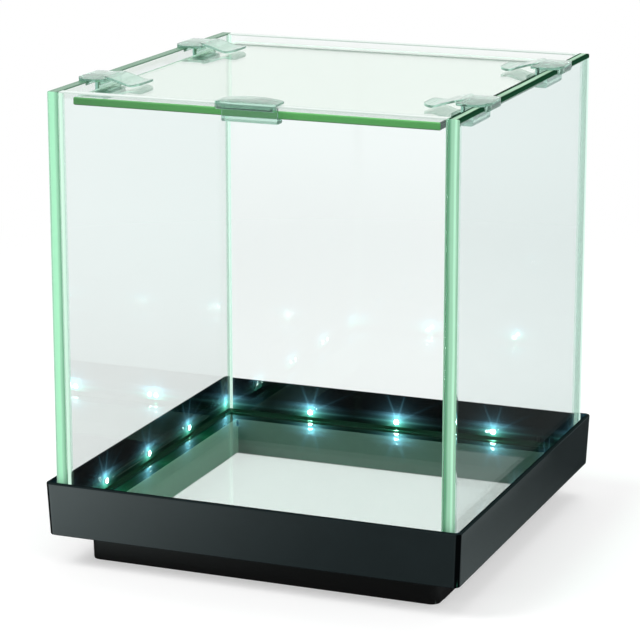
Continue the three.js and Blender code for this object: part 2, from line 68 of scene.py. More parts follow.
TOUCH_GAP = 0.3 * MM  # between pieces that touch
PAD_EDGE = 0.3 * MM  # plinth left bare beside a foot pad
RIGHT_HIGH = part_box("right_pane")[1]
PLINTH_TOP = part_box("plinth_frame")[1].z
STRIP_LOW, STRIP_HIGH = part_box("led_strip")
TANK_HALF = RIGHT_HIGH.x
TANK_RIM = RIGHT_HIGH.z
TRAY_WELL = STRIP_HIGH.x + TOUCH_GAP
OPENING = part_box("foot_pad_2")[0].x - PAD_EDGE
LAMPS = [name for name in NODES if name.startswith("led_") and name[4:].isdigit()]


def middle_of(node):
    low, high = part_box(node)
    return (low + high) / 2


# The lights stand at an even pitch along each wall, the outermost ones LAMP_REACH from the middle.
LAMP_LEVEL = middle_of(LAMPS[0]).z
LAMP_REACH = max(middle_of(name).x for name in LAMPS if abs(middle_of(name).y) > TANK_HALF
                 and abs(middle_of(name).x) < TANK_HALF)
LAMP_PITCH = LAMP_REACH / 2


# ---- Node graph helpers ---------------------------------------------------------------------

WHITE = (1, 1, 1, 1)
BLACK = (0, 0, 0, 1)


class Graph:
    """The node tree of a material or of the world, with short ways to add and join nodes."""

    def __init__(self, name, for_world=False):
        self.owner = (bpy.data.worlds if for_world else bpy.data.materials).new(name)
        self.owner.use_nodes = True
        self.tree = self.owner.node_tree
        self.tree.nodes.clear()
        self.output = self.tree.nodes.new("ShaderNodeOutput" + ("World" if for_world else "Material"))

    def add(self, kind, values=None, **settings):
        node = self.tree.nodes.new("ShaderNode" + kind)
        for key, value in settings.items():
            setattr(node, key, value)
        for key, value in (values or {}).items():
            self.put(value, node.inputs[key])
        return node

    def put(self, value, socket):
        if isinstance(value, bpy.types.NodeSocket):
            self.tree.links.new(value, socket)
        else:
            socket.default_value = value

    def math(self, operation, a, b=0.0, c=0.0, clamp=False):
        node = self.add("Math", {0: a, 1: b, 2: c}, operation=operation, use_clamp=clamp)
        return node.outputs[0]

    def product(self, first, *others):
        for value in others:
            first = self.math("MULTIPLY", first, value)
        return first

    def largest(self, first, *others):
        for value in others:
            first = self.math("MAXIMUM", first, value)
        return first

    def absolute(self, value):
        return self.math("ABSOLUTE", value)

    def square(self, value):
        return self.math("MULTIPLY", value, value)

    def fall(self, distance, length):
        """1 at no distance, and less by a factor of e with each `length`."""
        return self.math("EXPONENT", self.math("DIVIDE", distance, -length))

    def invert(self, mask):
        return self.math("SUBTRACT", 1.0, mask)

    def ramp(self, value, low, high, to_low=0.0, to_high=1.0, smooth=False):
        node = self.add(
            "MapRange",
            {"Value": value, "From Min": low, "From Max": high, "To Min": to_low, "To Max": to_high},
            interpolation_type="SMOOTHSTEP" if smooth else "LINEAR",
        )
        return node.outputs["Result"]

    def choose(self, mask, off, on):
        """`off` where the mask is 0, `on` where it is 1."""
        return self.ramp(mask, 0.0, 1.0, off, on)

    def blend(self, factor, a, b):
        node = self.add("Mix", data_type="RGBA")
        for index, value in ((0, factor), (6, a), (7, b)):
            self.put(value, node.inputs[index])
        return node.outputs[2]

    def object_place(self):
        return self.add("TexCoord").outputs["Object"]

    def split(self, vector):
        return self.add("SeparateXYZ", {0: vector}).outputs

    def place(self):
        return self.split(self.object_place())

    def normal(self):
        return self.split(self.add("TexCoord").outputs["Normal"])

    def mirrored(self):
        """1 where gloss or glass shows this surface in a mirror image."""
        return self.math("MINIMUM", self.add("LightPath").outputs["Glossy Depth"], 1.0)

    def noise(self, scale, detail=3.0, roughness=0.5, vector=None):
        node = self.add("TexNoise", {"Scale": scale, "Detail": detail, "Roughness": roughness})
        self.tree.links.new(vector or self.object_place(), node.inputs["Vector"])
        return node.outputs["Fac"]

    def bump(self, height, strength, distance):
        node = self.add("Bump", {"Height": height, "Strength": strength, "Distance": distance})
        return node.outputs["Normal"]

    def principled(self, values):
        return self.add("BsdfPrincipled", values).outputs[0]

    def finish(self, shader, volume=None):
        self.tree.links.new(shader, self.output.inputs["Surface"])
        if volume:
            self.tree.links.new(volume, self.output.inputs["Volume"])
        return self.owner


def srgb(r, g, b):
    def linear(value):
        value /= 255
        return value / 12.92 if value <= 0.04045 else ((value + 0.055) / 1.055) ** 2.4
    return (linear(r), linear(g), linear(b), 1.0)


def lets_lamps_through(graph, shader, tint):
    """Lamps reach what stands behind clear stock."""
    clear = graph.add("BsdfTransparent", {"Color": tint})
    path = graph.add("LightPath")
    mix = graph.add("MixShader", {0: path.outputs["Is Shadow Ray"], 1: shader, 2: clear.outputs[0]})
    return mix.outputs[0]


# ---- Glass ----------------------------------------------------------------------------------

GLASS_IOR = 1.5
PANE_HUE = (0.26, 0.75, 0.62, 1)  # what is left of white light, deep in the glass
# The pale colour of an edge seen from inside the glass, and the colour of its painted glow
INNER_EDGE = srgb(228, 252, 240)
FLAT_ON = 0.9  # a normal's share along an axis, from which a face counts as a pane's flat side
FACING = 0.5  # the same for top edges and for the cover's right edge

# Painted glow of an edge seen through the glass, in place of the light that the glass carries to its edges,
# and the share of it left in mirror images
UPRIGHT_SHINE = 1.15
MIRRORED_SHINE = 0.2
COVER_SHINE = 0.75

# The painted dark band that stands for the cover's edge, seen in a pane just below the rim, fades in over
# this stretch, measured down from the rim.
BAND_FOOT, BAND_FULL = 2.4 * MM, 1.8 * MM

# Grinding marks run along an edge: fine across the pane's thin axis, long the other two ways.
GRIND = ((900.0, 22.0, 22.0), (22.0, 900.0, 22.0), (22.0, 22.0, 900.0))
MARKS = 0.3, 0.7  # the grinding noise runs mostly between these values
BORDER_RAGGED, TONES_RAGGED = 0.12, 0.05  # how far the marks shift the turns from tone to tone
BORDER_SOFT, WITHIN_SOFT = 0.15, 0.1  # half the width of such a turn: across an edge, and seen through glass
DULLER = 0.4  # how much of the border's tone the marks bring into the middle

INNER_DARK = 0.9  # how far an upright edge's own colour gives way to black, seen through the glass, leaving its painted glow
LEVEL_INNER = 0.7  # how much of the edge of a level pane shows through its glass
LEFT_PAINTED_SHADE = 0.45  # how much of its painted shade the cover's edge has at the left end

# Where an upright edge turns from each tone to the next, as shares of the way from the tank's side outwards
TONE_TURNS = (0.16, 0.38), (0.56, 0.68), (0.78, 0.88)


def pane_edge(graph, box, thin, middle, border, spread=0.65):
    """The ground edge of a pane: a mask that leaves the two faces out, its colour, and its grinding marks.

    The colour goes from `middle` to `border` at the share `spread` of the way from mid-thickness to a face.
    """
    low, high = box
    centre, half = (low[thin] + high[thin]) / 2, (high[thin] - low[thin]) / 2
    place = graph.place()
    mask = graph.math("LESS_THAN", graph.absolute(graph.normal()[thin]), FLAT_ON)
    across = graph.absolute(graph.math("DIVIDE", graph.math("SUBTRACT", place[thin], centre), half))
    stretched = graph.add("Mapping", {"Vector": graph.object_place(), "Scale": GRIND[thin]}).outputs[0]
    ground = graph.noise(1.0, 4.0, 0.6, stretched)
    ragged = graph.math("ADD", across, graph.ramp(ground, *MARKS, -BORDER_RAGGED, BORDER_RAGGED))
    outer = graph.ramp(ragged, spread - BORDER_SOFT, spread + BORDER_SOFT)
    duller = [(1 - DULLER) * m + DULLER * b for m, b in zip(middle, border)]
    lit = graph.blend(graph.ramp(ground, 0.35, 0.7), middle, duller)
    return mask, graph.blend(outer, lit, border), ground


def upright_tones(graph, box, thin, ground, tones):
    """The tones of an upright edge, and how far out a point lies on it: 0 on the tank's side, 1 outside."""
    reach_in, reach_out = sorted((abs(box[0][thin]), abs(box[1][thin])))
    place = graph.absolute(graph.place()[thin])
    marks = graph.ramp(ground, *MARKS, -TONES_RAGGED, TONES_RAGGED)
    share = graph.math("ADD", graph.ramp(place, reach_in, reach_out), marks)
    tone = tones[0]
    for (low, high), colour in zip(TONE_TURNS, tones[1:]):
        tone = graph.blend(graph.ramp(share, low, high), tone, colour)
    return tone, share


def float_glass(name, thin, sides, top=None, within=None, shade=None, tint=8.0, hue=PANE_HUE, gloss=0.12,
                glow=0.0, band=None):
    """Clear float glass with its green edges.

    `sides` colours an edge seen from outside; upright panes have four tones there, and `top` for their
    top edge. `within` is the near and the outer colour of the painted glow of an upright edge seen
    through the glass, and where they meet. `shade` is the painted shade of the cover's right edge, which
    also darkens its other edges towards the left. `glow` is the painted glow that an upright edge gives
    off outside the glass. `band` is the painted dark colour that the cover's edge gives the outer face
    just below the rim.
    """
    g = Graph("glass_" + name)
    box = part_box(name)
    smears = g.ramp(g.noise(9.0, 4.0, 0.6), 0.45, 0.8, 0.0, 0.02)
    glass = g.principled({
        "Base Color": WHITE, "Roughness": smears, "IOR": GLASS_IOR, "Transmission Weight": 1.0})
    absorb = g.add("VolumeAbsorption", {"Color": hue, "Density": tint})
    mask, colour, ground = pane_edge(g, box, thin, *(top or sides))
    inner = g.add("NewGeometry").outputs["Backfacing"]
    shine, strength = INNER_EDGE, 0.0
    if shade:
        # Painted shade on the cover's edge: full on the right edge, and growing on the others towards the
        # left; seen from inside, a pale painted glow.
        leftward = g.ramp(g.place()[0], box[0].x, 0.0, LEFT_PAINTED_SHADE, 0.0)
        rightward = g.math("GREATER_THAN", g.normal()[0], FACING)
        colour = g.blend(g.largest(leftward, rightward), colour, shade)
        colour = g.blend(inner, colour, INNER_EDGE)
        strength = g.product(inner, COVER_SHINE)
    if top:
        # Upright edges: seen through the glass, their own colour gives way to a painted glow; `glow` gives
        # them some painted glow outside too.
        level = g.math("GREATER_THAN", g.absolute(g.normal()[2]), FACING)
        tone, share = upright_tones(g, box, thin, ground, sides)
        near, outer, turn = within
        inside = g.blend(g.ramp(share, turn - WITHIN_SOFT, turn + WITHIN_SOFT), near, outer)
        shine = g.blend(inner, tone, inside)
        upright = g.blend(g.product(inner, INNER_DARK), tone, BLACK)
        colour = g.blend(level, upright, g.blend(inner, colour, top[1]))
        dimmed = g.choose(g.mirrored(), 1.0, MIRRORED_SHINE)
        strength = g.product(g.choose(inner, glow, UPRIGHT_SHINE), dimmed, g.invert(level))
    if band:
        # A painted dark band on the outer face just below the rim.
        rim = g.ramp(g.place()[2], TANK_RIM - BAND_FOOT, TANK_RIM - BAND_FULL)
        rim = g.product(rim, g.math("GREATER_THAN", g.normal()[thin], FLAT_ON))
        colour = g.blend(rim, colour, band)
        mask = g.largest(mask, rim)
        strength = g.product(strength, g.invert(rim))
    edge = g.principled({
        "Base Color": colour, "Roughness": g.ramp(ground, *MARKS, 0.18, 0.4), "IOR": GLASS_IOR,
        "Specular IOR Level": gloss, "Emission Color": shine, "Emission Strength": strength})
    cover = g.product(mask, g.choose(inner, 1.0, 1.0 if top else LEVEL_INNER))
    mix = g.add("MixShader", {0: cover, 1: glass, 2: edge})
    shader = lets_lamps_through(g, mix.outputs[0], (0.90, 0.96, 0.93, 1))
    return g.finish(shader, absorb.outputs[0])


# Tones of the edges: for upright ones from the tank's side outwards, for level ones middle and border.
# Besides the glass's own green they hold painted light and shade, so the same glass is pale on the back pane,
# vivid on the cover and dark on the floor pane inside the tray.
MINT_LEFT = srgb(140, 194, 162), srgb(170, 236, 196), srgb(168, 234, 194), srgb(156, 206, 176)
MINT_RIGHT = srgb(104, 164, 128), srgb(164, 220, 186), srgb(196, 250, 218), srgb(156, 208, 176)
PALE_BACK = srgb(232, 250, 242), srgb(236, 252, 245), srgb(236, 252, 245), srgb(214, 240, 228)
LEAF = srgb(92, 218, 84), srgb(116, 220, 112)
SAGE = srgb(98, 146, 116), srgb(84, 128, 102)
PALE = srgb(228, 238, 233), srgb(196, 210, 203)
LIME = srgb(184, 222, 194), srgb(22, 60, 40), 0.42
MOSS = srgb(26, 62, 46), srgb(18, 44, 34)
CLEAR_WITHIN = srgb(242, 250, 246), srgb(216, 242, 232), 0.85

# Each pane: its thin axis, and the looks that float_glass() describes.
GLASS = {
    "left_pane": {"thin": 0, "sides": MINT_LEFT, "top": SAGE, "within": CLEAR_WITHIN},
    "right_pane": {"thin": 0, "sides": MINT_RIGHT, "top": LIME,
                   "within": (srgb(142, 182, 164), srgb(218, 242, 231), 0.2),
                   "gloss": 0.0, "band": srgb(26, 68, 46)},
    "front_pane": {"thin": 1, "sides": MINT_LEFT, "top": PALE,
                   "within": (srgb(204, 234, 216), srgb(196, 228, 210), 0.85)},
    "back_pane": {"thin": 1, "sides": PALE_BACK, "top": PALE, "glow": 0.5, "within": CLEAR_WITHIN},
    "floor_pane": {"thin": 2, "sides": MOSS},
    "cover_glass": {"thin": 2, "sides": LEAF, "shade": srgb(12, 48, 30), "tint": 34.0,
                    "hue": (0.34, 0.78, 0.44, 1)},
}


# ---- Silicone and clear plastic -------------------------------------------------------------

def silicone(name, low, high, roughness, clearness, ior):
    g = Graph(name)
    ripple = g.noise(140.0, 2.0)
    bead = g.principled({
        "Base Color": g.blend(ripple, low, high), "Roughness": roughness,
        "IOR": ior, "Transmission Weight": clearness, "Normal": g.bump(ripple, 0.25, 0.4 * MM)})
    return g.finish(lets_lamps_through(g, bead, (0.92, 0.97, 0.95, 1)))


def clear_plastic():
    """Clear on upright faces, a little milky on level ones."""
    g = Graph("clear_plastic")
    flow = g.noise(60.0, 2.0)
    clearness = g.ramp(g.absolute(g.normal()[2]), 0.3, 0.8, 1.0, 0.76)
    body = g.principled({
        "Base Color": g.blend(flow, srgb(206, 236, 222), srgb(218, 244, 232)), "Roughness": 0.06,
        "IOR": 1.49, "Transmission Weight": clearness, "Normal": g.bump(flow, 0.1, 0.3 * MM)})
    absorb = g.add("VolumeAbsorption", {"Color": (0.4, 0.74, 0.64, 1), "Density": 20.0})
    shader = lets_lamps_through(g, body, (0.78, 0.88, 0.84, 1))
    return g.finish(shader, absorb.outputs[0])


# ---- The lights and their spill -------------------------------------------------------------

# Falloff lengths of a light's spill, painted on the wall behind it
CORE = 1.7 * MM
HALO = 4.2 * MM
RAY = 8 * MM  # along a thin ray of the star
THIN = 0.4 * MM  # across it
STREAKS = (0.0, 7 * MM, 0.7 * MM), (3.2 * MM, 5 * MM, 1.3 * MM)  # height, and falloff along and across
RAYS = (16, 1.0), (-22, 1.0), (62, 0.5)  # degrees from upright, and strength
CORE_LEVEL, HALO_LEVEL = 3.0, 0.7
MIRRORED_GLARE = 3.2  # how much stronger the spill is in mirror images, as glare is
HAZE_HIGH, HAZE_LOW = srgb(112, 180, 205), srgb(80, 185, 148)

WALL_DEPTH = 1 * MM  # a wall's pieces all lie further out than LAMP_REACH less this
LENS, LENS_EDGE = 0.7 * MM, 0.8 * MM  # the round lens, and its fade
LENS_LEVEL, PACKAGE_LEVEL = 240.0, 0.25


def beside_lamp(graph, axis):
    """How far along the wall the nearest light is, on the two walls along `axis`."""
    shifted = graph.math("ADD", graph.place()[axis], LAMP_REACH)
    return graph.math("WRAP", shifted, LAMP_PITCH / 2, -LAMP_PITCH / 2)


def from_lamp(graph, axis):
    """The same distance, the height above the light, the distance from it, and a mask of those two walls."""
    place = graph.place()
    along = beside_lamp(graph, axis)
    height = graph.math("SUBTRACT", place[2], LAMP_LEVEL)
    wall = graph.math("GREATER_THAN", graph.absolute(place[1 - axis]), LAMP_REACH - WALL_DEPTH)
    far = graph.math("SQRT", graph.math("ADD", graph.square(along), graph.square(height)))
    return along, height, far, wall


def streak(graph, along, height, rise, length, thickness):
    """A level streak of light, `rise` above the light."""
    above = graph.absolute(graph.math("SUBTRACT", height, rise))
    return graph.product(graph.fall(graph.absolute(along), length), graph.fall(above, thickness))


def ray(graph, along, height, far, turn, strength):
    """One thin ray of the star, `turn` degrees from upright."""
    lean = math.radians(turn)
    aside = graph.math(
        "SUBTRACT", graph.product(along, math.cos(lean)), graph.product(height, math.sin(lean)))
    thin = graph.fall(graph.absolute(aside), THIN)
    return graph.product(graph.fall(far, RAY), thin, strength)


def lamp_glow(graph):
    """The nearest light's spill, painted on the wall behind it: a hot core, a halo, two level streaks and a
    star.
    """
    walls = []
    for axis in (0, 1):
        along, height, far, wall = from_lamp(graph, axis)
        spill = graph.product(graph.fall(far, CORE), CORE_LEVEL)
        parts = [graph.product(graph.fall(far, HALO), HALO_LEVEL)]
        parts += [streak(graph, along, height, *shape) for shape in STREAKS]
        parts += [ray(graph, along, height, far, *shape) for shape in RAYS]
        for part in parts:
            spill = graph.math("ADD", spill, part)
        walls.append(graph.product(spill, wall))
    return graph.product(graph.largest(*walls), graph.choose(graph.mirrored(), 1.0, MIRRORED_GLARE))


def haze(graph):
    """The spill's colour: bluish above the row of lights, green below it."""
    up = graph.ramp(graph.place()[2], LAMP_LEVEL - HALO, LAMP_LEVEL + HALO)
    return graph.blend(up, HAZE_LOW, HAZE_HIGH)


def lamp():
    """A white package with a round lens that shines."""
    g = Graph("led_lens")
    upright = g.math("LESS_THAN", g.absolute(g.normal()[2]), 0.6)
    lenses = []
    for axis in (0, 1):
        far, wall = from_lamp(g, axis)[2:]
        lenses.append(g.product(g.ramp(far, LENS, LENS + LENS_EDGE, 1.0, 0.0, smooth=True), wall))
    strength = g.math("MULTIPLY_ADD", g.product(upright, g.largest(*lenses)), LENS_LEVEL, PACKAGE_LEVEL)
    body = g.principled({
        "Base Color": (0.62, 0.70, 0.68, 1), "Roughness": 0.3, "Specular IOR Level": 0.2,
        "Emission Color": (0.72, 1.0, 0.96, 1), "Emission Strength": strength})
    return g.finish(body)


def circuit():
    g = Graph("strip_circuit")
    weave = g.noise(500.0, 2.0)
    # The dark board, with the lights' spill painted on it as glow
    body = g.principled({
        "Base Color": g.blend(weave, srgb(4, 10, 11), srgb(7, 16, 16)), "Roughness": 0.3,
        "Specular IOR Level": 0.0, "Emission Color": haze(g),
        "Emission Strength": g.product(lamp_glow(g), 1.6)})
    return g.finish(body)


# ---- Tray and plinth ------------------------------------------------------------------------

WALL_BACK, WALL_LEFT = srgb(154, 178, 168), srgb(212, 244, 226)  # the opening's walls: pale, and on the left lighter than the others, a painted light
# The colour of the light painted on the ledge below the strip
LEDGE_GREEN = srgb(24, 172, 112)
WALL_SLACK = 0.8 * MM  # how far from the opening's size its walls may lie
LEDGE_SLACK = 0.5 * MM  # how far above the plinth the tray's inside begins
MITRE = 2 * MM  # half the width over which two walls' washes meet in a corner
WASH_LENGTH = 7 * MM  # falloff of the wash on the ledge beside a light
WASH_PEAK, WASH_BASE = 0.24, 0.1
WASH_FRONT_BACK = 0.14  # share of the wash on the ledge along the front and the back
TRAY_IOR = 1.45


def reach(graph):
    """How far a point lies from the middle, square on."""
    place = graph.place()
    return graph.largest(graph.absolute(place[0]), graph.absolute(place[1]))


def inside_tray(graph):
    """1 on the tray's inner walls and ledge, 0 on its outside."""
    within = graph.math("LESS_THAN", reach(graph), TRAY_WELL)
    above = graph.math("GREATER_THAN", graph.place()[2], PLINTH_TOP + LEDGE_SLACK)
    return graph.product(within, above)


def with_opening_walls(graph, colour):
    """A colour that is pale on the walls of the opening through the tray's ledge and the plinth, with painted
    light on the left wall.
    """
    within = graph.math("LESS_THAN", reach(graph), OPENING + WALL_SLACK)
    left = graph.math("LESS_THAN", graph.place()[0], WALL_SLACK - OPENING)
    return graph.blend(within, colour, graph.blend(left, WALL_BACK, WALL_LEFT))


def ledge_wash(graph):
    """How strongly the lights' painted wash of light lies on the ledge below them."""
    place = graph.place()
    sideways = graph.math("SUBTRACT", graph.absolute(place[0]), graph.absolute(place[1]))
    sideways = graph.ramp(sideways, -MITRE, MITRE)
    near = graph.fall(graph.absolute(beside_lamp(graph, 1)), WASH_LENGTH)
    wash = graph.math("MULTIPLY_ADD", near, WASH_PEAK, WASH_BASE)
    return graph.product(wash, graph.choose(sideways, WASH_FRONT_BACK, 1.0))


def tray_gloss():
    """High gloss outside, and dull inside, where the lights' spill is painted, and on top of the rim. The
    inside is painted near black as shade, and the rounded corners carry a painted dark line.
    """
    g = Graph("tray_gloss")
    outside = g.blend(g.noise(35.0, 5.0), srgb(25, 33, 34), srgb(31, 40, 42))
    inside = inside_tray(g)
    # Painted shade: the inside of the moulding is near black.
    shade = with_opening_walls(g, g.blend(inside, outside, srgb(5, 9, 10)))
    dust = g.ramp(g.noise(700.0, 3.0), 0.55, 0.85, 0.14, 0.22)
    body = g.principled({
        "Base Color": shade, "Roughness": dust, "IOR": TRAY_IOR, "Specular IOR Level": 0.55,
        "Normal": g.bump(g.noise(260.0, 2.0), 0.05, 0.2 * MM)})
    normal = g.normal()
    upward = g.math("GREATER_THAN", normal[2], 0.25)
    # A painted dark line on the rounded upright corners, in place of the dark that they mirror.
    corner = g.product(*(g.ramp(g.absolute(normal[axis]), 0.22, 0.38) for axis in (0, 1)))
    ledge = g.product(upward, inside, g.math("LESS_THAN", g.place()[2], STRIP_LOW.z))
    spill = g.product(lamp_glow(g), inside, 0.8)
    glow = g.math("ADD", spill, g.product(ledge, ledge_wash(g)))
    dull = g.principled({
        "Base Color": g.blend(corner, shade, srgb(5, 7, 8)), "Roughness": 0.4, "IOR": TRAY_IOR,
        "Specular IOR Level": 0.0,
        "Emission Color": g.blend(ledge, haze(g), LEDGE_GREEN), "Emission Strength": glow})
    mix = g.add("MixShader", {0: g.largest(upward, inside, corner), 1: body, 2: dull})
    return g.finish(mix.outputs[0])


def plinth_matt():
    g = Graph("plinth_matt")
    grain = g.noise(900.0, 3.0)
    # Black, and pale on the opening's walls, with painted light on the left one
    shade = with_opening_walls(g, g.blend(grain, srgb(4, 5, 5), srgb(10, 11, 11)))
    body = g.principled({
        "Base Color": shade, "Roughness": 0.55, "Normal": g.bump(grain, 0.35, 0.15 * MM)})
    return g.finish(body)


# ---- Metal, rubber and black plastic --------------------------------------------------------

def metal(name, colour, smoothest, roughest):
    g = Graph(name)
    brush = g.noise(1500.0, 2.0)
    body = g.principled({
        "Base Color": colour, "Metallic": 1.0, "Roughness": g.ramp(brush, 0.3, 0.7, smoothest, roughest)})
    return g.finish(body)


def dull_black(name, low, high, roughness, scale, detail=3.0, relief=None):
    """Rubber or plastic with a fine grain, and relief of the given strength if any."""
    g = Graph(name)
    grain = g.noise(scale, detail)
    values = {"Base Color": g.blend(grain, low, high), "Roughness": roughness}
    if relief:
        values["Normal"] = g.bump(grain, relief, 0.1 * MM)
    return g.finish(g.principled(values))


# ---- Every piece gets its material ----------------------------------------------------------

# By slot, apart from floor_seam, whose bead has painted shade: darker than the other clear silicone, as it
# lies against the dark tray.
FINISHES = {
    "clear_silicone": silicone("clear_silicone", srgb(228, 252, 240), srgb(244, 255, 250), 0.1, 0.93, 1.06),
    "floor_seam": silicone("floor_seam_painted_shade", srgb(52, 98, 76), srgb(70, 122, 98), 0.2, 0.85, 1.12),
    "clear_plastic": clear_plastic(),
    "tray_gloss": tray_gloss(),
    "plinth_matt": plinth_matt(),
    "strip_circuit": circuit(),
    "led_lens": lamp(),
    "screw_steel": metal("screw_steel", (0.62, 0.63, 0.65, 1), 0.22, 0.42),
    "pin_brass": metal("pin_brass", (0.72, 0.56, 0.26, 1), 0.18, 0.35),
    "pad_rubber": dull_black("pad_rubber", srgb(20, 20, 21), srgb(32, 32, 33), 0.85, 1200.0, relief=0.3),
    "jack_plastic": dull_black("jack_plastic", srgb(16, 16, 17), srgb(26, 26, 27), 0.5, 1000.0, relief=0.2),
    "lead_insulation": dull_black("lead_insulation", srgb(20, 20, 21), srgb(30, 30, 31), 0.5, 900.0, 2.0),
}

# Moulded pieces get smooth faces in a fine copy, and the clips rounded edges too: rounding in mm, and
# the angle in degrees from which an edge stays sharp or is rounded.
CLIP_FINISH = 0.22, 40
MOULDED = {"tray_surround": (0.0, 50), "plinth_frame": (0.0, 50), "front_clip": CLIP_FINISH}
for side in ("front_left", "front_right", "back_left", "back_right"):
    MOULDED["rim_clip_" + side] = CLIP_FINISH
SAME_PLACE = 0.001 * MM  # vertices this close are one
SAME_PLANE = 0.5  # faces that meet at less than this angle in degrees are one


def fine_copy(name, rounding, angle):
    """The same solid as a separate piece, with small rounded edges and smooth shading."""
    mesh = NODES[name].data.copy()
    bm = bmesh.new()
    bm.from_mesh(mesh)
    bmesh.ops.remove_doubles(bm, verts=bm.verts, dist=SAME_PLACE)
    bmesh.ops.dissolve_limit(bm, angle_limit=math.radians(SAME_PLANE), verts=bm.verts, edges=bm.edges)
    bm.to_mesh(mesh)
    bm.free()
    piece = bpy.data.objects.new(name + "_shell", mesh)
    bpy.context.scene.collection.objects.link(piece)
    mesh.shade_smooth()
    mesh.set_sharp_from_angle(angle=math.radians(angle))
    if rounding:
        bevel = piece.modifiers.new("rounding", "BEVEL")
        bevel.width = rounding * MM
        bevel.segments = 3
        bevel.limit_method = "ANGLE"
        bevel.angle_limit = math.radians(angle)
        bevel.use_clamp_overlap = True
    weighted = piece.modifiers.new("even_normals", "WEIGHTED_NORMAL")
    weighted.keep_sharp = not rounding
    return piece


def dress_nodes():
    for entry in frame["record"]["subparts"]:
        name, slot = entry["node"], entry["material_slot"]
        piece = NODES[name]
        if name in MOULDED:
            piece = fine_copy(name, *MOULDED[name])
            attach(piece, NODES[name]["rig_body"])
            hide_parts(name)
        finish = float_glass(name, **GLASS[name]) if name in GLASS else FINISHES.get(name) or FINISHES[slot]
        piece.data.materials.clear()
        piece.data.materials.append(finish)


# ---- Stage: the floor -----------------------------------------------------------------------

PAPER_GREY = (0.62, 0.62, 0.62, 1)
PAPER_LIFT, OPENING_LIFT = 0.45, 1.03  # added to the paper where it is seen: outside, and more in the opening, as painted light that clears the tank's shadow from the paper there
FADE_FROM, FADE_TO = 0.25, 0.8  # metres from the middle, over which the paper fades to plain white
# The colour of the floor's painted reflection
IMAGE_TINT = (0.86, 1.0, 0.99, 1)
FLOOR_HALF = 6.0

# The rest is the floor's painted reflection: how bright gloss and glass show the floor, by the place that
# they mirror, in metres.
# The right side mirrors what lies right of the line x = SPLIT_LEAN * y + SPLIT_FROM to SPLIT_TO, the left
# side what lies left of it.
SPLIT_LEAN, SPLIT_FROM, SPLIT_TO = 0.405, 0.0107, 0.0207
RIGHT_OF_TRAY = 0.115
TRAY_MIRRORS_TO, PANE_MIRRORS_FROM = 0.149, 0.157  # in x: the tray's right wall, and the right pane above it
# What lies behind the right pane's image of the floor ends at these y: the table, the ring round it, the tray
TABLE_END, RING_END, TRAY_END = 0.095, 0.160, 0.2627
OVER_TABLE, OVER_RING, OVER_TRAY = 0.45, 0.28, 0.05
FAR_RIGHT, FAR_LEVEL = 0.64, 0.72
FAR_Y = 0.6
TRAY_FRONT_Y, TRAY_BACK_Y = -0.07, 0.15  # the painted reflection makes the tray's right wall darker from front to back
TRAY_FRONT_LEVEL = 0.3
LEFT_Y, LEFT_FAR_Y, LEFT_LEVEL = 0.12, 0.5, 0.25
AHEAD_Y, AHEAD_FAR_Y, AHEAD_LEVEL = -0.42, -0.95, 0.9
# A bright strip painted into the floor's reflection in front of the tray, strongest at the left, which
# lightens the tray's front face towards the left
STRIP_Y, STRIP_Y_FULL, STRIP_END_FULL, STRIP_END = -0.2405, -0.2365, -0.12, -0.115
STRIP_X, STRIP_X_FULL = 0.05, -0.16
STRIP_PEAK, STRIP_BASE = 2.1, 0.1
ASIDE_X, ASIDE_FAR_X, ASIDE_Y = 0.25, 0.45, 0.25
DISTANT, DISTANT_FAR = 0.9, 1.5


def seen_floor(g, path, away):
    """Pale paper that keeps the object's shadow and fades to plain white further out. Under the opening,
    painted light takes that shadow away.
    """
    seen = g.math("ADD", path["Is Camera Ray"], path["Is Transmission Ray"], clamp=True)
    under = g.math("LESS_THAN", reach(g), OPENING)
    paper = g.add("BsdfDiffuse", {"Color": PAPER_GREY})
    lift = g.product(seen, g.choose(under, PAPER_LIFT, OPENING_LIFT))
    lit = g.add("Emission", {"Color": WHITE, "Strength": lift})
    near = g.add("AddShader", {0: paper.outputs[0], 1: lit.outputs[0]})
    plain = g.add("Emission", {"Color": WHITE, "Strength": 1.0})
    far = g.product(seen, g.ramp(away, FADE_FROM, FADE_TO, smooth=True))
    return g.add("MixShader", {0: far, 1: near.outputs[0], 2: plain.outputs[0]}).outputs[0]


def mirrored_right(g, x, y):
    """The floor's painted reflection, as the tray's right wall and the right pane show it."""
    table_or_ring = g.ramp(y, TABLE_END - 1 * MM, TABLE_END + 1 * MM, OVER_TABLE, OVER_RING)
    pane = g.choose(g.ramp(y, RING_END - 2 * MM, RING_END + 2 * MM), table_or_ring, OVER_TRAY)
    tray = g.ramp(y, TRAY_FRONT_Y, TRAY_BACK_Y, TRAY_FRONT_LEVEL, OVER_TRAY)
    near = g.choose(g.ramp(x, TRAY_MIRRORS_TO, PANE_MIRRORS_FROM), tray, pane)
    far = g.ramp(y, TRAY_END, FAR_Y, FAR_RIGHT, FAR_LEVEL)
    return g.choose(g.ramp(y, TRAY_END - 1 * MM, TRAY_END + 1 * MM), near, far)


def painted_reflection_strip(g, path, x, y):
    """The bright strip painted into the floor's reflection, which no image seen through glass shows."""
    leftward = g.ramp(x, STRIP_X, STRIP_X_FULL)
    level = g.math("ADD", g.product(g.square(leftward), STRIP_PEAK), STRIP_BASE)
    span = g.product(g.ramp(y, STRIP_Y, STRIP_Y_FULL), g.ramp(y, STRIP_END, STRIP_END_FULL))
    first = g.math("LESS_THAN", path["Transmission Depth"], 0.5)
    return g.product(span, first, level)


